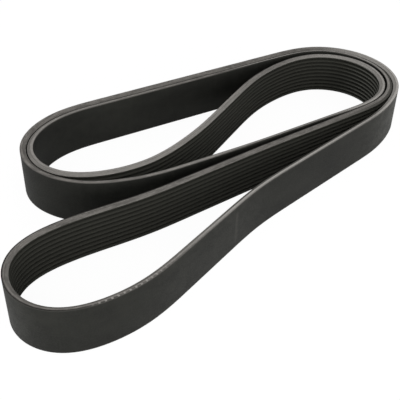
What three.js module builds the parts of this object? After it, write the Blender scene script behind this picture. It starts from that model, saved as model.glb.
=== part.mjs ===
// Ribbed serpentine belt for an engine's accessory drive: one endless band of rubber.
// It is folded for storage and stands on its cut edge, in millimetres, +Z up.
// The loop is pushed into three lobes, so that up to three layers lie side by side.

import * as THREE from 'three';

// Section, across the belt. Ribs are on the left of the travel, the smooth back on the right.
const RIB_COUNT = 10;
const RIB_PITCH = 3.56;
const RIB_ANGLE = 40; // degrees between the two flanks of a rib
const RIB_TIP_WIDTH = 1.0;
const GROOVE_WIDTH = 0.9;
const BODY_THICKNESS = 2.2; // from the back to the floor of the grooves
const CORD_DEPTH = 1.2; // from the back to the cord line, which the route follows
const BACK_CORNER = 0.25;

// Clearances between layers that lie against each other
const TOUCH_GAP = 0.2;
const FACET_SAG = 0.28; // how far a facet may cut inside the true curve
const FACET_RUN = 45; // longest facet, on a straight stretch

// Lobe at the right, back right as seen from the front. Its innermost layer is the datum.
const RIGHT_LOBE_RADIUS = 47.1;
const RIGHT_RUN_OUT_RADIUS = 142;
const RIGHT_RUN_OUT_AT = 124; // degrees round the lobe, from +X
const MIDDLE_LAYER_SLACK = 2;
const MIDDLE_LAYER_TOWARD = 102; // degrees
const OUTER_LAYER_SHIFT = 19.3;
const OUTER_LAYER_TOWARD = -120; // degrees

// Lobe at the upper left, with two layers
const UPPER_LOBE_LEFT = 195.9; // from the right lobe's centre
const UPPER_LOBE_FRONT = 106;
const UPPER_LOBE_RADIUS = 39.3;
const UPPER_RUN_IN_RADIUS = 91;
const UPPER_RUN_IN_AT = -83; // degrees
const UPPER_RUN_OUT_RADIUS = 63;
const UPPER_RUN_OUT_AT = 164; // degrees
const UPPER_OUTER_SHIFT = 8.7;
const UPPER_OUTER_TOWARD = -21; // degrees
const UPPER_OUTER_RUN_OUT_RADIUS = 130;
const UPPER_OUTER_RUN_OUT_AT = -85; // degrees

// Lobe at the lower left, with one layer
const LOBES_APART = 43; // clear space between the upper and the lower lobe
const LOWER_LOBE_RIGHT = 7.3; // from the upper lobe's centre
const LOWER_LOBE_RADIUS = 38.2;
const LOWER_RUN_IN_RADIUS = 147;
const LOWER_RUN_IN_AT = 134; // degrees
const LOWER_RUN_OUT_RADIUS = 110;
const LOWER_RUN_OUT_AT = -68; // degrees

// Slight bends in the long strands between the lobes
const STRAND_BEND_RADIUS = 200;
const CORNER_SHARE = 0.45; // how much of each leg a bend may round off
const FRONT_BEND_RIGHT = 121.5; // from the lower lobe's centre
const FRONT_BEND_BACK = 84.5;
const INNER_BEND_LEFT = 65.7; // from the right lobe's centre
const INNER_BEND_FRONT = 99.8;
const STRAND_GAP = 3.2; // between the two backs at that bend
const LOWER_BEND_RIGHT = 45.2; // from the lower lobe's centre
const LOWER_BEND_BACK = 73.7;
const CROSSING_BEND_RIGHT = 85; // from the upper lobe's centre
const CROSSING_BEND_BACK = 21.7;

// The belt's own stiffness spreads each change of curvature over this length
const EASE_LENGTH = 36;
const ROUTE_STEP = 1;

// Sizes that follow from the ones above
const beltWidth = RIB_COUNT * RIB_PITCH;
const flankRun = (RIB_PITCH - RIB_TIP_WIDTH - GROOVE_WIDTH) / 2;
const ribDepth = flankRun / Math.tan(THREE.MathUtils.degToRad(RIB_ANGLE / 2));
const ribReach = BODY_THICKNESS + ribDepth - CORD_DEPTH;
const layerGap = TOUCH_GAP + FACET_SAG;
const ribsFacing = 2 * ribReach + layerGap;
const backsFacing = 2 * CORD_DEPTH + layerGap;

// A guide is a circle that the cord line wraps: turn is 1 to the left and -1 to the right
function wrap(centre, radius, turn) {
  return { x: centre.x, y: centre.y, radius, turn };
}

// A corner has turn 0: two straight legs meet there and are rounded off
function corner(x, y, radius = STRAND_BEND_RADIUS) {
  return { x, y, radius, turn: 0 };
}

function shifted(point, distance, degrees) {
  const angle = THREE.MathUtils.degToRad(degrees);
  return { x: point.x + distance * Math.cos(angle), y: point.y + distance * Math.sin(angle) };
}

// A wider circle that touches the guide from outside at the given angle round it
function widened(guide, radius, degrees) {
  return wrap(shifted(guide, guide.radius - radius, degrees), radius, guide.turn);
}

// The same bend one layer further out, run through the other way
function outside(guide, spacing) {
  return wrap(guide, guide.radius + spacing, -guide.turn);
}

function guides() {
  const rightInner = wrap({ x: 0, y: 0 }, RIGHT_LOBE_RADIUS, 1);
  const middleCentre = shifted(rightInner, MIDDLE_LAYER_SLACK, MIDDLE_LAYER_TOWARD);
  const middleRadius = RIGHT_LOBE_RADIUS + backsFacing + MIDDLE_LAYER_SLACK;
  const rightMiddle = wrap(middleCentre, middleRadius, -1);
  const rightOuterBack = outside(rightMiddle, ribsFacing);
  const outerCentre = shifted(rightOuterBack, OUTER_LAYER_SHIFT, OUTER_LAYER_TOWARD);
  const rightOuterFront = wrap(outerCentre, rightOuterBack.radius, 1);
  const rightRunOut = widened(rightInner, RIGHT_RUN_OUT_RADIUS, RIGHT_RUN_OUT_AT);

  const upperCentre = { x: -UPPER_LOBE_LEFT, y: -UPPER_LOBE_FRONT };
  const upperInner = wrap(upperCentre, UPPER_LOBE_RADIUS, -1);
  const upperRunIn = widened(upperInner, UPPER_RUN_IN_RADIUS, UPPER_RUN_IN_AT);
  const upperRunOut = widened(upperInner, UPPER_RUN_OUT_RADIUS, UPPER_RUN_OUT_AT);
  const upperOuter = outside(upperInner, ribsFacing);
  const lowCentre = shifted(upperCentre, UPPER_OUTER_SHIFT, UPPER_OUTER_TOWARD);
  const upperOuterLow = wrap(lowCentre, upperOuter.radius, 1);
  const upperOuterRunOut = widened(upperOuterLow, UPPER_OUTER_RUN_OUT_RADIUS, UPPER_OUTER_RUN_OUT_AT);

  const lobeSpacing = upperOuter.radius + LOBES_APART + LOWER_LOBE_RADIUS + 2 * CORD_DEPTH;
  const lowerCentre = { x: upperCentre.x + LOWER_LOBE_RIGHT, y: lowCentre.y - lobeSpacing };
  const lower = wrap(lowerCentre, LOWER_LOBE_RADIUS, 1);
  const lowerRunIn = widened(lower, LOWER_RUN_IN_RADIUS, LOWER_RUN_IN_AT);
  const lowerRunOut = widened(lower, LOWER_RUN_OUT_RADIUS, LOWER_RUN_OUT_AT);

  const frontBend = corner(lower.x + FRONT_BEND_RIGHT, lower.y + FRONT_BEND_BACK);
  const crossingBend = corner(upperCentre.x + CROSSING_BEND_RIGHT, upperCentre.y + CROSSING_BEND_BACK);
  const innerBend = corner(-INNER_BEND_LEFT, -INNER_BEND_FRONT);
  const lowerBend = corner(lower.x + LOWER_BEND_RIGHT, lower.y + LOWER_BEND_BACK);
  const strandLean = Math.atan2(innerBend.y - lowerBend.y, innerBend.x - lowerBend.x);
  const besideAngle = THREE.MathUtils.radToDeg(strandLean) - 90;
  const besideBend = shifted(innerBend, backsFacing + STRAND_GAP, besideAngle);

  return [
    lowerRunIn, lower, lowerRunOut,
    frontBend,
    rightOuterFront, rightOuterBack,
    outside(upperRunOut, ribsFacing), upperOuter, upperOuterLow, upperOuterRunOut,
    innerBend,
    rightInner, rightRunOut,
    crossingBend,
    upperRunIn, upperInner, upperRunOut,
    rightMiddle,
    corner(besideBend.x, besideBend.y),
    lowerBend,
  ];
}

// The straight leg that leaves one guide and meets the next, touching both
function legBetween(from, to) {
  const reach = new THREE.Vector2(to.x - from.x, to.y - from.y);
  const fromSide = from.turn * from.radius;
  const toSide = to.turn * to.radius;
  const across = toSide - fromSide;
  const along = Math.sqrt(Math.max(reach.lengthSq() - across * across, 0));
  const heading = new THREE.Vector2(
    along * reach.x + across * reach.y,
    along * reach.y - across * reach.x,
  ).normalize();
  const left = new THREE.Vector2(-heading.y, heading.x);
  const start = new THREE.Vector2(from.x, from.y).addScaledVector(left, -fromSide);
  const end = new THREE.Vector2(to.x, to.y).addScaledVector(left, -toSide);
  return { start, end, heading, left, length: start.distanceTo(end) };
}

function addWrap(path, guide, arriving, leaving) {
  const startAngle = Math.atan2(arriving.end.y - guide.y, arriving.end.x - guide.x);
  const endAngle = Math.atan2(leaving.start.y - guide.y, leaving.start.x - guide.x);
  path.absarc(guide.x, guide.y, guide.radius, startAngle, endAngle, guide.turn < 0);
}

function turnBetween(before, after) {
  return Math.atan2(before.cross(after), before.dot(after));
}

function addCorner(path, guide, arriving, leaving) {
  const bend = turnBetween(arriving.heading, leaving.heading);
  if (bend === 0) {
    return;
  }
  const halfTangent = Math.tan(Math.abs(bend) / 2);
  const room = CORNER_SHARE * Math.min(arriving.length, leaving.length);
  const cut = Math.min(guide.radius * halfTangent, room);
  const radius = cut / halfTangent;
  const side = Math.sign(bend);
  const start = new THREE.Vector2(guide.x, guide.y).addScaledVector(arriving.heading, -cut);
  const centre = start.clone().addScaledVector(arriving.left, side * radius);
  const startAngle = Math.atan2(start.y - centre.y, start.x - centre.x);
  path.absarc(centre.x, centre.y, radius, startAngle, startAngle + bend, side < 0);
}

// The cord line as arcs and straight legs, closed on itself
function cordPath(bends) {
  const legs = bends.map((guide, i) => legBetween(guide, bends[(i + 1) % bends.length]));
  const path = new THREE.Path();
  bends.forEach((guide, i) => {
    const arriving = legs[(i + legs.length - 1) % legs.length];
    const add = guide.turn === 0 ? addCorner : addWrap;
    add(path, guide, arriving, legs[i]);
  });
  path.closePath();
  return path;
}

// Each point becomes the average of its neighbours, half the ease length to each side
function easedPoints(path) {
  const count = Math.round(path.getLength() / ROUTE_STEP);
  const points = path.getSpacedPoints(count).slice(0, count);
  const reach = Math.round(EASE_LENGTH / ROUTE_STEP / 2);
  return points.map((_, i) => {
    const sum = new THREE.Vector2();
    for (let k = -reach; k <= reach; k += 1) {
      sum.add(points[(i + k + count) % count]);
    }
    return sum.divideScalar(2 * reach + 1);
  });
}

// Stations sit closer in tight bends, so that no facet cuts deeper than its allowed sag.
// A chord's sag is its length squared times the curvature, divided by eight.
function stations(points) {
  const count = points.length;
  const frames = points.map((point, i) => {
    const ahead = points[(i + 1) % count].clone().sub(point);
    const behind = point.clone().sub(points[(i + count - 1) % count]);
    const heading = ahead.clone().add(behind).normalize();
    const run = ahead.length();
    const curvature = Math.abs(turnBetween(behind, ahead)) / run;
    const facet = Math.min(FACET_RUN, Math.sqrt((8 * FACET_SAG) / curvature));
    return { point, left: new THREE.Vector2(-heading.y, heading.x), share: run / facet };
  });
  const total = frames.reduce((sum, frame) => sum + frame.share, 0);
  const facets = Math.ceil(total);
  const chosen = [];
  let passed = 0;
  for (const frame of frames) {
    if (passed >= (chosen.length * total) / facets) {
      chosen.push(frame);
    }
    passed += frame.share;
  }
  return chosen;
}

// The section as offsets from the cord line towards the ribs and heights above the lower edge
function section() {
  const back = -CORD_DEPTH;
  const grooveFloor = BODY_THICKNESS - CORD_DEPTH;
  const outline = [
    new THREE.Vector2(back, BACK_CORNER),
    new THREE.Vector2(back + BACK_CORNER, 0),
    new THREE.Vector2(grooveFloor, 0),
  ];
  for (let rib = 0; rib < RIB_COUNT; rib += 1) {
    const middle = (rib + 0.5) * RIB_PITCH;
    const halfTip = RIB_TIP_WIDTH / 2;
    outline.push(
      new THREE.Vector2(grooveFloor, middle - halfTip - flankRun),
      new THREE.Vector2(ribReach, middle - halfTip),
      new THREE.Vector2(ribReach, middle + halfTip),
      new THREE.Vector2(grooveFloor, middle + halfTip + flankRun),
    );
  }
  outline.push(
    new THREE.Vector2(grooveFloor, beltWidth),
    new THREE.Vector2(back + BACK_CORNER, beltWidth),
    new THREE.Vector2(back, beltWidth - BACK_CORNER),
  );
  return outline;
}

// The section swept once round the route and joined to its own start
function sweptBand(rings, outline) {
  const positions = [];
  for (const { point, left } of rings) {
    for (const { x: reach, y: height } of outline) {
      positions.push(point.x + left.x * reach, point.y + left.y * reach, height);
    }
  }
  const indices = [];
  const size = outline.length;
  for (let i = 0; i < rings.length; i += 1) {
    const here = i * size;
    const next = ((i + 1) % rings.length) * size;
    for (let j = 0; j < size; j += 1) {
      const k = (j + 1) % size;
      indices.push(here + j, here + k, next + k);
      indices.push(here + j, next + k, next + j);
    }
  }
  const geometry = new THREE.BufferGeometry();
  geometry.setAttribute('position', new THREE.Float32BufferAttribute(positions, 3));
  geometry.setIndex(indices);
  return geometry;
}

function beltGeometry() {
  const rings = stations(easedPoints(cordPath(guides())));
  const geometry = sweptBand(rings, section());
  geometry.computeBoundingBox();
  const middle = geometry.boundingBox.getCenter(new THREE.Vector3());
  geometry.translate(-middle.x, -middle.y, 0);
  geometry.computeVertexNormals();
  return geometry;
}

const rubber = new THREE.MeshStandardMaterial({ color: 0x2c2c2a, roughness: 0.82, metalness: 0 });
rubber.name = 'ribbed_rubber';

const belt = new THREE.Mesh(beltGeometry(), rubber);
belt.name = 'belt';

const group = new THREE.Group();
group.add(belt);

export default group;
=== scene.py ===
"""A ribbed serpentine belt, folded into three lobes and standing on its cut edge."""

import cmath
import math
from itertools import accumulate
from typing import NamedTuple

import bmesh
import bpy
from bpy.props import FloatProperty, FloatVectorProperty, IntProperty, PointerProperty
from mathutils import Matrix, Vector


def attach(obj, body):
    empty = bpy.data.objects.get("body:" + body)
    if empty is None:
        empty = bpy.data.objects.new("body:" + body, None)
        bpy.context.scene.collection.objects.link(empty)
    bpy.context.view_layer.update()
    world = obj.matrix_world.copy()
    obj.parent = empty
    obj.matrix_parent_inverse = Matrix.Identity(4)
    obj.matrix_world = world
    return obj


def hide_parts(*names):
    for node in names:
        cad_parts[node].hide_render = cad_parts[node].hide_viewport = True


bl_info = {
    "name": "Folded Serpentine Belt",
    "version": (1, 0, 0),
    "blender": (4, 5, 0),
    "location": "3D View > Sidebar > Belt",
    "description": "Builds a ribbed drive belt that is folded and stands on its edge",
    "category": "Object",
}

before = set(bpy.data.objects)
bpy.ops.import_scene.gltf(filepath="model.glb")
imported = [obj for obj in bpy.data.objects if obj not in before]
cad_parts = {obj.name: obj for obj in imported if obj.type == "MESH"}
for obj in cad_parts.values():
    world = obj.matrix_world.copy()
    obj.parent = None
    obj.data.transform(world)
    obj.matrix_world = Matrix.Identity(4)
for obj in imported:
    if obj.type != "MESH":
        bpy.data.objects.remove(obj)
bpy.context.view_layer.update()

PLACE = "belt_place"  # distance along the belt, height and reach, on every face corner
PLACE_PARTS = ("travel", "height", "reach")

# Materials of the belt, in the order of its slots
BACK, RIBS, EDGE = range(3)

SHEEN_TINT = (0.99, 1.0, 0.91)  # the rubber shines a little greenish
SHARP_ANGLE = math.radians(32)  # between two faces, from where their edge shows sharp
CORNER_SHARE = 0.45  # of the shorter leg, the most that the rounding of a corner takes
STRAIGHT = 1e-6  # curvature per metre, up to which the belt counts as straight


def length(name, description, default):
    """A size in metres."""
    return FloatProperty(
        name=name, description=description, default=default, unit="LENGTH", precision=5
    )


def angle(name, description, degrees):
    """An angle, given here in degrees."""
    return FloatProperty(
        name=name,
        description=description,
        default=math.radians(degrees),
        subtype="ANGLE",
        unit="ROTATION",
    )


def number(name, description, default):
    """A plain number."""
    return FloatProperty(name=name, description=description, default=default, precision=5)


def power(name, description, default):
    """The power of a lamp in watts."""
    return FloatProperty(
        name=name, description=description, default=default, unit="POWER"
    )


def point(name, description, default):
    """A point in metres: to the right, to the back and, outside the plan, upwards."""
    return FloatVectorProperty(
        name=name,
        description=description,
        default=default,
        subtype="XYZ",
        unit="LENGTH",
        size=len(default),
        precision=5,
    )


def colour(name, description, default):
    """A colour as linear red, green and blue."""
    return FloatVectorProperty(
        name=name,
        description=description,
        default=default,
        subtype="COLOR",
        size=3,
        min=0,
        max=1,
    )


class BeltSection(bpy.types.PropertyGroup):
    """The belt's section, across its width."""

    rib_count: IntProperty(name="Ribs", description="Ribs across the belt", default=10)
    rib_pitch: length("Rib pitch", "From the middle of one rib to the next", 0.00356)
    rib_angle: angle("Rib angle", "Between the two flanks of a rib", 40)
    rib_tip: length("Rib tip", "Width of the flat at the top of a rib", 0.001)
    groove: length("Groove", "Width of the floor between two ribs", 0.0009)
    body: length("Body", "Thickness from the back to the groove floor", 0.0022)
    cord_depth: length("Cord depth", "From the back to the tension cords", 0.0012)
    back_round: length("Back rounding", "Rounding of the two back corners", 0.00025)
    tip_round: length("Tip rounding", "Rounding of the corners of a rib", 0.0003)
    groove_round: length("Groove rounding", "Rounding at the groove floor", 0.0002)


class BeltFold(bpy.types.PropertyGroup):
    """How the belt is folded. The centre of the right lobe is the datum."""

    right_radius: length("Right lobe", "Radius of the innermost layer", 0.0471)
    right_out: length("Right run-out", "Wider radius where that layer leaves", 0.142)
    right_out_at: angle("Right run-out at", "Where round the lobe", 124)
    middle_slack: length("Middle slack", "Room beside the middle layer", 0.002)
    middle_toward: angle("Middle toward", "Where that room is", 102)
    outer_shift: length("Outer shift", "How far the outer layer stands off", 0.0193)
    outer_toward: angle("Outer toward", "Where it stands off", -120)
    upper_left: length("Upper lobe left", "From the right lobe's centre", 0.1959)
    upper_front: length("Upper lobe front", "From the right lobe's centre", 0.106)
    upper_radius: length("Upper lobe", "Radius of the upper lobe", 0.0393)
    upper_in: length("Upper run-in", "Wider radius where the belt arrives", 0.091)
    upper_in_at: angle("Upper run-in at", "Where round the lobe", -83)
    upper_out: length("Upper run-out", "Wider radius where the belt leaves", 0.063)
    upper_out_at: angle("Upper run-out at", "Where round the lobe", 164)
    upper_shift: length("Upper shift", "How far its outer layer stands off", 0.0087)
    upper_toward: angle("Upper toward", "Where it stands off", -21)
    outer_out: length("Outer run-out", "Wider radius where that layer leaves", 0.13)
    outer_out_at: angle("Outer run-out at", "Where round the lobe", -85)
    lobes_apart: length("Lobes apart", "Clear space between the left lobes", 0.043)
    lower_right: length("Lower lobe right", "From the upper lobe's centre", 0.0073)
    lower_radius: length("Lower lobe", "Radius of the lower lobe", 0.0382)
    lower_in: length("Lower run-in", "Wider radius where the belt arrives", 0.147)
    lower_in_at: angle("Lower run-in at", "Where round the lobe", 134)
    lower_out: length("Lower run-out", "Wider radius where the belt leaves", 0.11)
    lower_out_at: angle("Lower run-out at", "Where round the lobe", -68)
    front_bend: point("Front bend", "From the lower lobe's centre", (0.1215, 0.0845))
    inner_bend: point("Inner bend", "From the right lobe's centre", (-0.0657, -0.0998))
    lower_bend: point("Lower bend", "From the lower lobe's centre", (0.0452, 0.0737))
    crossing: point("Crossing bend", "From the upper lobe's centre", (0.085, 0.0217))
    strand_radius: length("Strand bend", "Radius of the long strands' bends", 0.2)
    strand_gap: length("Strand gap", "Between the two backs at the inner bend", 0.0032)
    touch_gap: length("Touch gap", "Between layers that lie together", 0.00048)
    ease: length("Ease", "Length over which a bend fades in and out", 0.036)
    sag: length("Facet sag", "How far a facet may cut inside the curve", 0.00002)
    longest: length("Longest facet", "Longest facet on a straight stretch", 0.008)


class BeltFinish(bpy.types.PropertyGroup):
    """Colours of the belt, and the sizes of the marks on it."""

    back: colour("Back", "Smooth rubber of the back", (0.003, 0.003, 0.0025))
    back_worn: colour("Back, dusty", "Dusty patches of the back", (0.012, 0.012, 0.010))
    dust: colour("Dust", "Dust that has settled on the back", (0.075, 0.075, 0.067))
    rib: colour("Rib", "Ground tips of the ribs", (0.029, 0.029, 0.024))
    # Painted highlight: pale rib tips at the right lobe's far end stand in for gloss of light on
    # them
    rib_highlight: colour("Rib, worn", "Tips that have run on a pulley", (0.13, 0.13, 0.115))
    # Painted shade in the grooves: the ribs darken towards the groove floor, together with the
    # lighter tone of the ground tips
    groove: colour("Groove", "Floor between the ribs", (0.017, 0.017, 0.014))
    edge: colour("Cut edge", "Ground rubber of the cut edges", (0.22, 0.206, 0.192))
    # Darker patches of the cut edge; also the colour of the painted highlight along the back's
    # rounded borders
    edge_patch_and_highlight: colour("Cut edge, dark", "Darker patches there", (0.112, 0.105, 0.098))
    # Painted highlight: pale stretches of the cut edges stand in for light on them; the pale
    # flecks and nicks take this colour too
    edge_pale_and_highlight: colour("Cut edge, worn", "Pale, rubbed stretches there", (0.43, 0.412, 0.388))
    # Also the colour of the painted shade on the first rib's outer flank
    cord: colour("Cords", "Rubber with cords or fibres in it", (0.06, 0.058, 0.052))
    splice: length("Splice mark", "Distance along the belt of its faint mark", 0.272)
    splice_width: length("Splice width", "From that mark's middle to its side", 0.0025)
    splice_height: length("Splice height", "From that mark's middle to its end", 0.015)
    # Width of the painted highlight along the back's rounded borders
    highlight_width: length("Rubbed width", "Of the rubbed edges of the back", 0.0011)
    # How far down the painted highlight on the rib tips reaches
    highlight_depth: length("Worn depth", "How far down a worn rib tip is pale", 0.0006)
    cord_spread: length("Cord spread", "From the cord line's middle to its side", 0.0004)
    # Depth over which painted shade darkens the first flank
    flank_shade_depth: length("Flank depth", "Over which the first flank darkens", 0.0006)
    skin: length("Skin", "Dark skin that shows on the cut edges", 0.0003)
    # Width of the dark rim: the back's skin, and painted shade on the rounded back corner
    rim_width: length("Rim width", "Of the dark rim where the skin is thick", 0.0015)
    nick_pitch: length("Nick pitch", "From one nick of the cut edge to the next", 0.004)
    nick_depth: length("Nick depth", "How far a nick reaches in from the back", 0.002)


class Stretch(NamedTuple):
    """A stretch of the belt, by distance along it: a mark starts, is full, fades and ends."""

    start: float
    full: float
    fading: float
    end: float
    amount: float


# Where highlights are painted on the cut edges: along the front strand, and round the right and
# upper lobes
EDGE_HIGHLIGHTS = (
    Stretch(0.11, 0.34, 0.56, 0.61, 0.65),
    Stretch(0.18, 0.28, 0.38, 0.43, 0.30),
    Stretch(0.43, 0.47, 0.52, 0.58, 0.35),
    Stretch(1.00, 1.06, 1.34, 1.44, 0.30),
    Stretch(1.16, 1.22, 1.32, 1.38, 0.35),
    Stretch(1.38, 1.48, 1.66, 1.86, 0.42),
    Stretch(1.87, 1.92, 1.97, 2.03, 0.50),
    Stretch(1.97, 2.03, 2.06, 2.12, 0.35),
)
# Where the cut edge has a dark rim at its back: the back's dark skin, and painted shade on the
# rounded back corner
DARK_RIM = (
    Stretch(-0.20, -0.10, 0.13, 0.20, 0.85),
    Stretch(0.14, 0.20, 0.42, 0.46, 0.40),
    Stretch(1.06, 1.12, 1.18, 1.22, 0.95),
    Stretch(1.28, 1.33, 1.40, 1.46, 0.95),
    Stretch(1.84, 1.92, 1.98, 2.02, 0.95),
    Stretch(2.12, 2.16, 2.50, 2.60, 0.90),
)
# Where the painted shade on the outer flank of the first rib is darker than elsewhere
FLANK_SHADE = (
    Stretch(0.22, 0.28, 0.43, 0.47, 0.50),
    Stretch(2.00, 2.03, 2.09, 2.18, 0.65),
)
# Where nicks stand in a row on the cut edge: along the front strand
NICKED_EDGE = (Stretch(0.142, 0.15, 0.18, 0.215, 0.75),)
# Where dust has settled on the back: at the lower lobe and twice along the front strand
DUSTY_BACK = (
    Stretch(0.03, 0.07, 0.085, 0.12, 0.30),
    Stretch(0.17, 0.22, 0.28, 0.32, 0.07),
    Stretch(0.41, 0.49, 0.52, 0.55, 0.65),
)
# Where a highlight is painted on the tips of the ribs: at the far end of the right lobe
RIB_HIGHLIGHTS = (Stretch(1.16, 1.22, 1.28, 1.33, 1.00),)


class Grain(NamedTuple):
    """Noise with patches of these sizes along the belt, up its width and through it."""

    along: float
    up: float
    through: float
    detail: float = 2.0
    roughness: float = 0.5


DUST_PATCHES = Grain(0.05, 0.02, 0.02)
DUST_STREAKS = Grain(0.004, 0.12, 0.02)
MOTTLE = Grain(0.007, 0.006, 0.006, detail=4.0, roughness=0.65)
SPECKS = Grain(0.0012, 0.0012, 0.0012, detail=3.0)
GRINDING = Grain(0.006, 0.0008, 0.0008, detail=3.0)
FIBRES = Grain(0.0009, 0.0003, 0.0003)
EDGE_PATCHES = Grain(0.012, 0.004, 0.002, detail=3.0)
EDGE_FLECKS = Grain(0.0035, 0.0012, 0.0012)
CUTS = Grain(0.0015, 0.0003, 0.0003)


class BeltStage(bpy.types.PropertyGroup):
    """Floor, lamps and camera."""

    floor: colour("Floor", "Colour of the floor", (0.86, 0.86, 0.86))
    floor_size: length("Floor size", "Side of the square floor", 8)
    floor_glow: number("Floor glow", "Brightness of the white laid over the floor", 1.05)
    glow_share: number("Glow share", "How much of that white the camera sees", 0.9)
    daylight: number("Daylight", "Strength of the white surroundings", 0.5)
    high_lamp: point("High lamp", "Where the lamp high in front hangs", (0, -1.3, 1.3))
    high_size: length("High lamp size", "Side of that square lamp", 1.0)
    high_power: power("High lamp power", "Power of that lamp", 10)
    low_lamp: point("Low lamp", "Where the lamp low in front hangs", (0, -1.7, 0.3))
    low_size: length("Low lamp size", "Side of that square lamp", 0.6)
    low_power: power("Low lamp power", "Power of that lamp", 7)
    side_lamp: point("Side lamp", "Where the lamp at the front right hangs", (1.2, -1.2, 0.6))
    side_size: length("Side lamp size", "Side of that square lamp", 0.8)
    side_power: power("Side lamp power", "Power of that lamp", 7.5)
    camera: point("Camera", "Where the camera stands", (-0.01610, -0.46154, 0.344))
    look_down: angle("Look down", "Camera's angle below the horizon", 37.87)
    roll: angle("Roll", "Camera's turn about its own line of sight", 1.17)
    lens: FloatProperty(
        name="Lens", description="Focal length", default=67.257, unit="CAMERA"
    )
    shift_right: number("Shift right", "Of the lens, as a share of the picture", -0.00125)
    shift_up: number("Shift up", "Of the lens, as a share of the picture", 0.00125)


class Guide(NamedTuple):
    """A circle that the cord line wraps, or a corner that it rounds.

    The turn is 1 to the left and -1 to the right round a circle, and 0 at a corner.
    """

    centre: complex
    radius: float
    turn: int


class Leg(NamedTuple):
    """A straight leg from one guide to the next."""

    start: complex
    end: complex
    heading: complex


def shifted(start, distance, toward):
    """The place at a distance from the start, in the direction of an angle."""
    return start + cmath.rect(distance, toward)


def widened(guide, radius, at):
    """A wider circle that touches the guide from outside, at that angle round it."""
    centre = shifted(guide.centre, guide.radius - radius, at)
    return Guide(centre, radius, guide.turn)


def outside(guide, spacing):
    """The same bend one layer further out, run through the other way."""
    return Guide(guide.centre, guide.radius + spacing, -guide.turn)


def flank_run(section):
    """How much of the belt's width one flank of a rib takes."""
    return (section.rib_pitch - section.rib_tip - section.groove) / 2


def rib_reach(section):
    """From the cord line to the tip of a rib."""
    depth = flank_run(section) / math.tan(section.rib_angle / 2)
    return section.body + depth - section.cord_depth


def fold_guides(section, fold):
    """The circles and corners that the belt passes, in the order of its travel."""
    ribs_facing = 2 * rib_reach(section) + fold.touch_gap
    backs_facing = 2 * section.cord_depth + fold.touch_gap

    inner = Guide(0j, fold.right_radius, 1)
    middle_radius = inner.radius + backs_facing + fold.middle_slack
    middle = Guide(shifted(0j, fold.middle_slack, fold.middle_toward), middle_radius, -1)
    outer_back = outside(middle, ribs_facing)
    outer_centre = shifted(outer_back.centre, fold.outer_shift, fold.outer_toward)
    outer_front = Guide(outer_centre, outer_back.radius, 1)

    upper = Guide(complex(-fold.upper_left, -fold.upper_front), fold.upper_radius, -1)
    upper_run_out = widened(upper, fold.upper_out, fold.upper_out_at)
    upper_outer = outside(upper, ribs_facing)
    low_centre = shifted(upper.centre, fold.upper_shift, fold.upper_toward)
    upper_low = Guide(low_centre, upper_outer.radius, 1)

    spacing = fold.lobes_apart + upper_outer.radius + fold.lower_radius
    lower_centre = complex(
        upper.centre.real + fold.lower_right,
        upper_low.centre.imag - spacing - 2 * section.cord_depth,
    )
    lower = Guide(lower_centre, fold.lower_radius, 1)

    def bend(start, offset):
        return Guide(start + complex(*offset), fold.strand_radius, 0)

    inner_bend = bend(0j, fold.inner_bend)
    lower_bend = bend(lower.centre, fold.lower_bend)
    lean = inner_bend.centre - lower_bend.centre
    beside = -1j * (backs_facing + fold.strand_gap) * lean / abs(lean)

    return [
        widened(lower, fold.lower_in, fold.lower_in_at),
        lower,
        widened(lower, fold.lower_out, fold.lower_out_at),
        bend(lower.centre, fold.front_bend),
        outer_front,
        outer_back,
        outside(upper_run_out, ribs_facing),
        upper_outer,
        upper_low,
        widened(upper_low, fold.outer_out, fold.outer_out_at),
        inner_bend,
        inner,
        widened(inner, fold.right_out, fold.right_out_at),
        bend(upper.centre, fold.crossing),
        widened(upper, fold.upper_in, fold.upper_in_at),
        upper,
        upper_run_out,
        middle,
        Guide(inner_bend.centre + beside, fold.strand_radius, 0),
        lower_bend,
    ]


def leg_between(first, second):
    """The straight leg that leaves one guide and meets the next, touching both."""
    reach = second.centre - first.centre
    across = second.turn * second.radius - first.turn * first.radius
    along = math.sqrt(max(abs(reach) ** 2 - across**2, 0))
    heading = reach * complex(along, -across) / abs(reach) ** 2
    start = first.centre - 1j * heading * first.turn * first.radius
    end = second.centre - 1j * heading * second.turn * second.radius
    return Leg(start, end, heading)


def arc(centre, start, sweep, step):
    """Points on an arc, at most step apart."""
    count = max(math.ceil(abs(sweep) * abs(start - centre) / step), 1)
    return [
        centre + (start - centre) * cmath.exp(1j * sweep * k / count)
        for k in range(count + 1)
    ]


def wrapped(guide, arriving, leaving, step):
    """The arc of a circle from the leg that arrives to the leg that leaves."""
    turning = guide.turn * cmath.phase(leaving.heading / arriving.heading)
    sweep = guide.turn * (turning % math.tau)
    return arc(guide.centre, arriving.end, sweep, step)


def rounded_corner(guide, arriving, leaving, step):
    """The arc that rounds a corner, touching both of its legs."""
    sweep = cmath.phase(leaving.heading / arriving.heading)
    half_tangent = math.tan(abs(sweep) / 2)
    shorter = min(abs(leg.end - leg.start) for leg in (arriving, leaving))
    cut = min(guide.radius * half_tangent, CORNER_SHARE * shorter)
    start = guide.centre - cut * arriving.heading
    side = math.copysign(cut / half_tangent, sweep)
    return arc(start + 1j * arriving.heading * side, start, sweep, step)


def evenly_spaced(points, step):
    """Points at one even spacing, close to step, round the closed line through the points."""
    closed = points + points[:1]
    runs = list(
        accumulate((abs(b - a) for a, b in zip(closed, closed[1:])), initial=0)
    )
    count = round(runs[-1] / step)
    spaced, k = [], 0
    for i in range(count):
        run = runs[-1] * i / count
        while runs[k + 1] <= run:
            k += 1
        share = (run - runs[k]) / (runs[k + 1] - runs[k])
        spaced.append(closed[k] + share * (closed[k + 1] - closed[k]))
    return spaced


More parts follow.
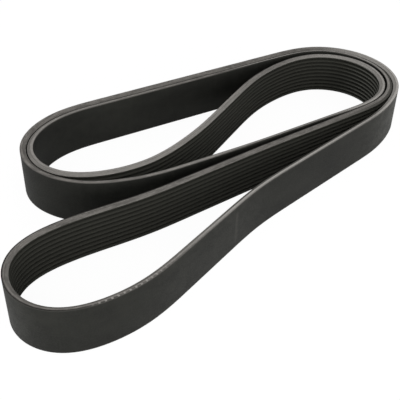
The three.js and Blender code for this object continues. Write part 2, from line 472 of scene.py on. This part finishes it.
def cord_line(section, fold, step=0.001):
    """The closed line of the cords, with its bends eased as the belt's stiffness does."""
    guides = fold_guides(section, fold)
    legs = [leg_between(a, b) for a, b in zip(guides, guides[1:] + guides[:1])]
    points = []
    for guide, arriving, leaving in zip(guides, legs[-1:] + legs[:-1], legs):
        turn = wrapped if guide.turn else rounded_corner
        points += turn(guide, arriving, leaving, step)
    line = evenly_spaced(points, step)
    reach = round(fold.ease / step / 2)
    count = len(line)
    return [
        sum(line[(i + k) % count] for k in range(-reach, reach + 1)) / (2 * reach + 1)
        for i in range(count)
    ]


class Station(NamedTuple):
    """A place on the belt: its distance along, and the matrix that puts the section there."""

    travel: float
    matrix: Matrix


def stations(line, fold):
    """Places along the belt, closer together in tight bends. The last one meets the first."""
    count = len(line)
    travel, share = 0.0, 0.0
    found = []
    for i in range(count + 1):
        here = line[i % count]
        ahead = line[(i + 1) % count] - here
        behind = here - line[i - 1]
        if share >= 1 or i in (0, count):
            share = 0 if i == 0 else share - 1
            right = -1j * (ahead + behind) / abs(ahead + behind)
            place = Matrix.Rotation(cmath.phase(right), 4, "Z")
            place.translation = (here.real, here.imag, 0)
            found.append(Station(travel, place))
        curvature = max(abs(cmath.phase(ahead / behind)) / abs(ahead), STRAIGHT)
        chord = math.sqrt(8 * fold.sag / curvature)  # it leaves the curve by the sag
        share += abs(ahead) / min(fold.longest, chord)
        travel += abs(ahead)
    return found


def section_face(bm, section):
    """The section as one face at the origin: the ribs point to -X and the width is along Z."""
    pitch, run, half_tip = section.rib_pitch, flank_run(section), section.rib_tip / 2
    width = section.rib_count * pitch
    back = section.cord_depth
    floor = section.cord_depth - section.body
    tip = -rib_reach(section)
    corners = {"back": [], "tip": [], "groove": []}

    def corner(kind, x, z):
        vert = bm.verts.new((x, 0, z))
        corners[kind].append(vert)
        return vert

    outline = [corner("back", back, 0), bm.verts.new((floor, 0, 0))]
    for rib in range(section.rib_count):
        middle = (rib + 0.5) * pitch
        outline += [
            corner("groove", floor, middle - half_tip - run),
            corner("tip", tip, middle - half_tip),
            corner("tip", tip, middle + half_tip),
            corner("groove", floor, middle + half_tip + run),
        ]
    outline += [bm.verts.new((floor, 0, width)), corner("back", back, width)]
    bm.faces.new(outline)
    for kind, offset, segments in (
        ("back", section.back_round, 3),
        ("tip", section.tip_round, 2),
        ("groove", section.groove_round, 1),
    ):
        bmesh.ops.bevel(
            bm,
            geom=corners[kind],
            offset=offset,
            offset_type="OFFSET",
            segments=segments,
            profile=0.5,
            affect="VERTICES",
            material=-1,
        )


def sweep(bm, places, travel):
    """Extrudes the section's outline from station to station. Returns its first and last ring."""
    bmesh.ops.delete(bm, geom=bm.faces[:], context="FACES_ONLY")
    ring, edges = bm.verts[:], bm.edges[:]
    bmesh.ops.transform(bm, matrix=places[0].matrix, verts=ring)
    first = list(ring)
    for here, there in zip(places, places[1:]):
        made = bmesh.ops.extrude_edge_only(bm, edges=edges)["geom"]
        ring = [item for item in made if isinstance(item, bmesh.types.BMVert)]
        edges = [item for item in made if isinstance(item, bmesh.types.BMEdge)]
        move = there.matrix @ here.matrix.inverted()
        bmesh.ops.transform(bm, matrix=move, verts=ring)
        for vert in ring:
            vert[travel] = there.travel
    return first, ring


def keep_place(bm):
    """Copies the travel, height and reach of the vertices to their face corners."""
    travel, height, reach = [bm.verts.layers.float[name] for name in PLACE_PARTS]
    place = bm.loops.layers.float_vector.new(PLACE)
    for face in bm.faces:
        for loop in face.loops:
            vert = loop.vert
            loop[place] = (vert[travel], vert[height], vert[reach])


def choose_finishes(bm, section):
    """Smooths the faces and gives each the material of the back, the ribs or a cut edge.

    The outer flanks of the first and the last rib belong to the cut edges.
    """
    place = bm.loops.layers.float_vector[PLACE]
    back = section.back_round / 2 - section.cord_depth
    width = section.rib_count * section.rib_pitch
    outer_flank = (section.rib_pitch - section.rib_tip) / 2 + section.tip_round / 2
    for face in bm.faces:
        face.smooth = True
        middle = sum((loop[place] for loop in face.loops), Vector()) / len(face.loops)
        if middle.z < back:
            face.material_index = BACK
        elif outer_flank < middle.y < width - outer_flank:
            face.material_index = RIBS
        else:
            face.material_index = EDGE


def close_band(bm, first, last):
    """Welds the last ring of the sweep to the first."""
    height, reach = [bm.verts.layers.float[name] for name in PLACE_PARTS[1:]]
    first_at = {(vert[height], vert[reach]): vert for vert in first}
    merge = {vert: first_at[vert[height], vert[reach]] for vert in last}
    bmesh.ops.weld_verts(bm, targetmap=merge)


def build_band(section, fold):
    """The belt as one closed mesh, with its place on the belt kept on every face corner."""
    bm = bmesh.new()
    travel, height, reach = [bm.verts.layers.float.new(name) for name in PLACE_PARTS]
    section_face(bm, section)
    for vert in bm.verts:
        vert[height], vert[reach] = vert.co.z, -vert.co.x
    first, last = sweep(bm, stations(cord_line(section, fold), fold), travel)
    keep_place(bm)
    choose_finishes(bm, section)
    close_band(bm, first, last)
    for name in PLACE_PARTS:
        bm.verts.layers.float.remove(bm.verts.layers.float[name])
    bmesh.ops.recalc_face_normals(bm, faces=bm.faces)
    return bm


def centre_band(bm):
    """Moves the band so that the middle of its plan is the frame's origin."""
    low = Vector([min(vert.co[axis] for vert in bm.verts) for axis in range(2)])
    high = Vector([max(vert.co[axis] for vert in bm.verts) for axis in range(2)])
    middle = ((low + high) / 2).to_3d()
    bmesh.ops.translate(bm, vec=-middle, verts=bm.verts)


def node(tree, kind, inputs=None, **settings):
    """A shader node with its settings. Its inputs are values or other nodes' outputs."""
    made = tree.nodes.new("ShaderNode" + kind)
    for name, value in settings.items():
        setattr(made, name, value)
    for key, value in (inputs or {}).items():
        if isinstance(value, bpy.types.NodeSocket):
            tree.links.new(value, made.inputs[key])
        else:
            made.inputs[key].default_value = value
    return made


def combine(tree, operation, first, second=0.0):
    """The result of a sum, product or other operation on one or two values."""
    inputs = {0: first, 1: second}
    return node(tree, "Math", inputs, operation=operation).outputs[0]


def distance_from(tree, value, middle):
    """How far a value is from the middle, to either side."""
    return combine(tree, "ABSOLUTE", combine(tree, "SUBTRACT", value, middle))


def fade(tree, value, start, end, before=0.0, after=1.0):
    """Changes smoothly from before, up to start, to after, from end on."""
    inputs = {"Value": value, 1: start, 2: end, 3: before, 4: after}
    return node(tree, "MapRange", inputs, interpolation_type="SMOOTHSTEP").outputs[0]


def within(tree, distance, size, full, amount=1.0):
    """The amount over the full share of a size, and less from there, down to 0 at the size."""
    return fade(tree, distance, full * size, size, before=amount, after=0.0)


def blend_colours(tree, share, first, second):
    """The first colour with a share of the second laid over it."""
    inputs = {0: share, 6: first, 7: second}
    return node(tree, "Mix", inputs, data_type="RGBA").outputs[2]


def noise(tree, place, grain):
    """Noise of this grain, from 0 to 1."""
    sizes = (grain.along, grain.up, grain.through)
    inputs = {0: place, 1: [1 / size for size in sizes]}
    scaled = node(tree, "VectorMath", inputs, operation="MULTIPLY").outputs[0]
    inputs = {
        "Vector": scaled,
        "Scale": 1.0,
        "Detail": grain.detail,
        "Roughness": grain.roughness,
    }
    return node(tree, "TexNoise", inputs).outputs[0]


def opaque(rgb):
    """The colour with full opacity, as a shader's socket takes it."""
    return (*rgb, 1)


def new_material(name):
    """An empty material and its node tree."""
    material = bpy.data.materials.new(name)
    material.use_nodes = True
    material.node_tree.nodes.clear()
    return material, material.node_tree


def belt_place(tree):
    """The place on the belt, and its parts: distance along, height and reach."""
    place = node(tree, "Attribute", attribute_name=PLACE).outputs["Vector"]
    parts = node(tree, "SeparateXYZ", {0: place}).outputs
    return place, parts[0], parts[1], parts[2]


def along_stretches(tree, along, stretches):
    """The summed amounts of these stretches at a distance along the belt."""
    total = 0.0
    for stretch in stretches:
        risen = fade(tree, along, stretch.start, stretch.full, after=stretch.amount)
        left = fade(tree, along, stretch.fading, stretch.end, before=1.0, after=0.0)
        total = combine(tree, "ADD", combine(tree, "MULTIPLY", risen, left), total)
    return total


def surface(tree, base, relief, depth, roughness, shine):
    """Rubber of this colour, with a fine relief as deep as depth."""
    bump = node(tree, "Bump", {"Height": relief, "Distance": depth, "Strength": 1.0})
    inputs = {
        "Base Color": base,
        "Roughness": roughness,
        "Specular IOR Level": shine,
        "Specular Tint": opaque(SHEEN_TINT),
        "Normal": bump.outputs[0],
    }
    shader = node(tree, "BsdfPrincipled", inputs)
    node(tree, "OutputMaterial", {"Surface": shader.outputs[0]})


def back_rubber(section, finish):
    """Smooth moulded back: dusty patches, faint marks across the belt, and a painted highlight
    along its borders.
    """
    material, tree = new_material("smooth_back")
    place, along, height, _ = belt_place(tree)
    half_width = section.rib_count * section.rib_pitch / 2
    patches = fade(tree, noise(tree, place, DUST_PATCHES), 0.35, 0.7)
    streaks = fade(tree, noise(tree, place, DUST_STREAKS), 0.45, 0.8, after=0.4)
    specks = noise(tree, place, SPECKS)
    mottle = fade(tree, noise(tree, place, MOTTLE), 0.38, 0.62)
    dust = combine(tree, "MULTIPLY", combine(tree, "ADD", patches, streaks), specks)
    dust = combine(tree, "ADD", dust, combine(tree, "MULTIPLY", mottle, 0.25))
    base = blend_colours(tree, dust, opaque(finish.back), opaque(finish.back_worn))

    settled = along_stretches(tree, along, DUSTY_BACK)
    uneven = fade(tree, mottle, 0.0, 1.0, before=0.5, after=1.1)
    settled = combine(tree, "MULTIPLY", settled, uneven)
    base = blend_colours(tree, settled, base, opaque(finish.dust))

    from_middle = distance_from(tree, height, half_width)
    from_border = combine(tree, "SUBTRACT", half_width, from_middle)
    # Painted highlight: a pale band along the back's borders stands in for light on the rounded
    # corners, and is left out where the cut edge has its dark rim
    highlit = within(tree, from_border, finish.highlight_width, full=0.09)
    dark_rimmed = combine(tree, "MINIMUM", along_stretches(tree, along, DARK_RIM), 1.0)
    highlit = combine(tree, "MULTIPLY", highlit, combine(tree, "SUBTRACT", 1.0, dark_rimmed))
    base = blend_colours(tree, highlit, base, opaque(finish.edge_patch_and_highlight))

    from_splice = distance_from(tree, along, finish.splice)
    splice = within(tree, from_splice, finish.splice_width, full=0.2, amount=0.3)
    ended = within(tree, from_middle, finish.splice_height, full=0.6)
    splice = combine(tree, "MULTIPLY", splice, ended)
    base = blend_colours(tree, splice, base, opaque(finish.cord))
    roughness = fade(tree, specks, 0.2, 0.8, before=0.5, after=0.66)
    surface(tree, base, relief=specks, depth=0.00004, roughness=roughness, shine=0.37)
    return material


def rib_rubber(section, finish):
    """Ground ribs: lighter tips, grooves darkened by painted shade, a painted highlight on some
    tips, fine grinding marks and short fibres.
    """
    material, tree = new_material("ribbed_face")
    place, along, _, reach = belt_place(tree)
    floor, tip = section.body - section.cord_depth, rib_reach(section)
    # Painted shade: the colour darkens from the rib tips down to the groove floor, with the
    # ground tips' own lighter tone
    risen = fade(tree, reach, floor, tip)
    base = blend_colours(tree, risen, opaque(finish.groove), opaque(finish.rib))

    # Painted highlight: rib tips paled at the right lobe's far end, standing in for gloss
    from_tip = combine(tree, "SUBTRACT", tip, reach)
    highlighted = within(tree, from_tip, finish.highlight_depth, full=0.17)
    highlighted = combine(tree, "MULTIPLY", highlighted, along_stretches(tree, along, RIB_HIGHLIGHTS))
    base = blend_colours(tree, highlighted, base, opaque(finish.rib_highlight))

    fibres = noise(tree, place, FIBRES)
    shown = fade(tree, fibres, 0.62, 0.8, after=0.35)
    base = blend_colours(tree, shown, base, opaque(finish.cord))
    raised = combine(tree, "MULTIPLY", fibres, 0.4)
    relief = combine(tree, "ADD", noise(tree, place, GRINDING), raised)
    surface(tree, base, relief, depth=0.00005, roughness=0.62, shine=0.2)
    return material


def edge_rubber(section, finish):
    """Cut edge: pale ground rubber with painted highlights in stretches, the cord line, painted
    shade on the first flank, and a dark skin with painted shade at the back corner.
    """
    material, tree = new_material("cut_edge")
    place, along, _, reach = belt_place(tree)
    patches = fade(tree, noise(tree, place, EDGE_PATCHES), 0.3, 0.75)
    cuts = noise(tree, place, CUTS)
    base = blend_colours(tree, patches, opaque(finish.edge), opaque(finish.edge_patch_and_highlight))

    # Painted highlight: pale stretches along the cut edge stand in for light falling on it, with
    # pale flecks added
    highlighted = along_stretches(tree, along, EDGE_HIGHLIGHTS)
    uneven = fade(tree, cuts, 0.25, 0.6, before=0.75, after=1.1)
    highlighted = combine(tree, "MULTIPLY", highlighted, uneven)
    flecks = fade(tree, noise(tree, place, EDGE_FLECKS), 0.5, 0.75, after=0.3)
    highlighted = combine(tree, "ADD", highlighted, flecks)
    base = blend_colours(tree, highlighted, base, opaque(finish.edge_pale_and_highlight))

    from_floor = combine(tree, "SUBTRACT", reach, section.body - section.cord_depth)
    beside_cords = combine(tree, "ABSOLUTE", from_floor)
    cords = within(tree, beside_cords, finish.cord_spread, full=0.25, amount=0.7)
    cords = combine(tree, "MULTIPLY", cords, cuts)
    base = blend_colours(tree, cords, base, opaque(finish.cord))
    # Painted shade: the first rib's outer flank darkens from the groove floor on, more in some
    # stretches
    shade = combine(tree, "ADD", 0.3, along_stretches(tree, along, FLANK_SHADE))
    shade = combine(tree, "MULTIPLY", shade, fade(tree, from_floor, 0.0, finish.flank_shade_depth))
    base = blend_colours(tree, shade, base, opaque(finish.cord))

    from_back = combine(tree, "ADD", reach, section.cord_depth)
    skin = within(tree, from_back, finish.skin, full=0.0, amount=0.75)
    # Dark rim at the back: the back's dark skin, and painted shade where the rounded back corner
    # turns from the light
    rim = within(tree, from_back, finish.rim_width, full=1 / 3)
    rim = combine(tree, "MULTIPLY", rim, along_stretches(tree, along, DARK_RIM))
    rim = combine(tree, "MAXIMUM", rim, skin)
    base = blend_colours(tree, rim, base, opaque(finish.back))

    row = combine(tree, "MULTIPLY", along, math.tau / finish.nick_pitch)
    nicks = fade(tree, combine(tree, "SINE", row), 0.2, 0.9)
    uneven = fade(tree, cuts, 0.35, 0.6, before=0.4, after=1.0)
    nicks = combine(tree, "MULTIPLY", nicks, uneven)
    shallow = within(tree, from_back, finish.nick_depth, full=0.5)
    nicks = combine(tree, "MULTIPLY", nicks, shallow)
    nicks = combine(tree, "MULTIPLY", nicks, along_stretches(tree, along, NICKED_EDGE))
    base = blend_colours(tree, nicks, base, opaque(finish.edge_pale_and_highlight))
    surface(tree, base, relief=cuts, depth=0.00006, roughness=0.8, shine=0.2)
    return material


class BELT_OT_make_band(bpy.types.Operator):
    """Sweep the ribbed section round the fold and give it its three rubber finishes"""

    bl_idname = "belt.make_band"
    bl_label = "Make belt"

    def execute(self, context):
        scene = context.scene
        section, fold, finish = scene.belt_section, scene.belt_fold, scene.belt_finish
        bm = build_band(section, fold)
        centre_band(bm)
        mesh = bpy.data.meshes.new("ribbed_belt")
        bm.to_mesh(mesh)
        bm.free()
        mesh.set_sharp_from_angle(angle=SHARP_ANGLE)
        for make in (back_rubber, rib_rubber, edge_rubber):
            mesh.materials.append(make(section, finish))
        piece = bpy.data.objects.new("ribbed_belt", mesh)
        scene.collection.objects.link(piece)
        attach(piece, "root")
        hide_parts("belt")
        return {"FINISHED"}


def floor_finish(stage):
    """A pale floor that keeps the shadow and shows as the white of a studio."""
    material, tree = new_material("pale_floor")
    paper = node(tree, "BsdfDiffuse", {"Color": opaque(stage.floor)})
    white = {"Color": opaque((1, 1, 1)), "Strength": stage.floor_glow}
    glow = node(tree, "Emission", white)
    path = node(tree, "LightPath").outputs
    share = combine(tree, "MULTIPLY", path["Is Camera Ray"], stage.glow_share)
    shown = node(tree, "MixShader", {0: share, 1: paper.outputs[0], 2: glow.outputs[0]})
    node(tree, "OutputMaterial", {"Surface": shown.outputs[0]})
    return material


def lay_floor(scene, stage):
    """A square floor under the belt."""
    bm = bmesh.new()
    bmesh.ops.create_grid(bm, x_segments=1, y_segments=1, size=stage.floor_size / 2)
    mesh = bpy.data.meshes.new("floor")
    bm.to_mesh(mesh)
    bm.free()
    mesh.materials.append(floor_finish(stage))
    floor = bpy.data.objects.new("floor", mesh)
    scene.collection.objects.link(floor)


def spread_daylight(scene, stage):
    """White surroundings that light the belt evenly."""
    world = bpy.data.worlds.new("white_studio")
    world.use_nodes = True
    background = world.node_tree.nodes["Background"].inputs
    background["Color"].default_value = opaque((1, 1, 1))
    background["Strength"].default_value = stage.daylight
    scene.world = world


def hang_lamp(scene, name, place, size, watts):
    """A square lamp that looks at the middle of the belt."""
    data = bpy.data.lights.new(name, "AREA")
    data.shape = "SQUARE"
    data.size = size
    data.energy = watts
    lamp = bpy.data.objects.new(name, data)
    lamp.location = place
    lamp.rotation_euler = (-Vector(place)).to_track_quat("-Z", "Y").to_euler()
    scene.collection.objects.link(lamp)


def stand_camera(scene, stage):
    """The camera of the photograph, looking down on the belt."""
    data = bpy.data.cameras.new("camera")
    data.lens = stage.lens
    data.shift_x = stage.shift_right
    data.shift_y = stage.shift_up
    camera = bpy.data.objects.new("camera", data)
    tilt = Matrix.Rotation(math.pi / 2 - stage.look_down, 4, "X")
    roll = Matrix.Rotation(stage.roll, 4, "Z")
    camera.matrix_world = Matrix.Translation(stage.camera) @ tilt @ roll
    scene.collection.objects.link(camera)
    scene.camera = camera


class BELT_OT_make_stage(bpy.types.Operator):
    """Lay the floor, hang the soft lamps and stand the camera"""

    bl_idname = "belt.make_stage"
    bl_label = "Make stage"

    def execute(self, context):
        scene, stage = context.scene, context.scene.belt_stage
        lay_floor(scene, stage)
        spread_daylight(scene, stage)
        hang_lamp(scene, "high_lamp", stage.high_lamp, stage.high_size, stage.high_power)
        hang_lamp(scene, "low_lamp", stage.low_lamp, stage.low_size, stage.low_power)
        hang_lamp(scene, "side_lamp", stage.side_lamp, stage.side_size, stage.side_power)
        stand_camera(scene, stage)
        scene.view_settings.view_transform = "Standard"
        return {"FINISHED"}


class BELT_PT_panel(bpy.types.Panel):
    """The belt's sizes, colours and operators"""

    bl_idname = "BELT_PT_panel"
    bl_label = "Folded Serpentine Belt"
    bl_space_type = "VIEW_3D"
    bl_region_type = "UI"
    bl_category = "Belt"

    def draw(self, context):
        for name, title, _ in GROUPS:
            box = self.layout.box()
            box.label(text=title)
            group = getattr(context.scene, name)
            for key in group.__annotations__:
                box.prop(group, key)
        self.layout.operator(BELT_OT_make_band.bl_idname)
        self.layout.operator(BELT_OT_make_stage.bl_idname)


GROUPS = (
    ("belt_section", "Section", BeltSection),
    ("belt_fold", "Fold", BeltFold),
    ("belt_finish", "Finish", BeltFinish),
    ("belt_stage", "Stage", BeltStage),
)
PLAIN_CLASSES = (BELT_OT_make_band, BELT_OT_make_stage, BELT_PT_panel)


def register():
    for name, _, group in GROUPS:
        bpy.utils.register_class(group)
        setattr(bpy.types.Scene, name, PointerProperty(type=group))
    for cls in PLAIN_CLASSES:
        bpy.utils.register_class(cls)


def unregister():
    for cls in reversed(PLAIN_CLASSES):
        bpy.utils.unregister_class(cls)
    for name, _, group in reversed(GROUPS):
        delattr(bpy.types.Scene, name)
        bpy.utils.unregister_class(group)


def main():
    """Builds the belt and its stage."""
    register()
    bpy.ops.belt.make_band()
    bpy.ops.belt.make_stage()


if __name__ == "__main__":
    main()
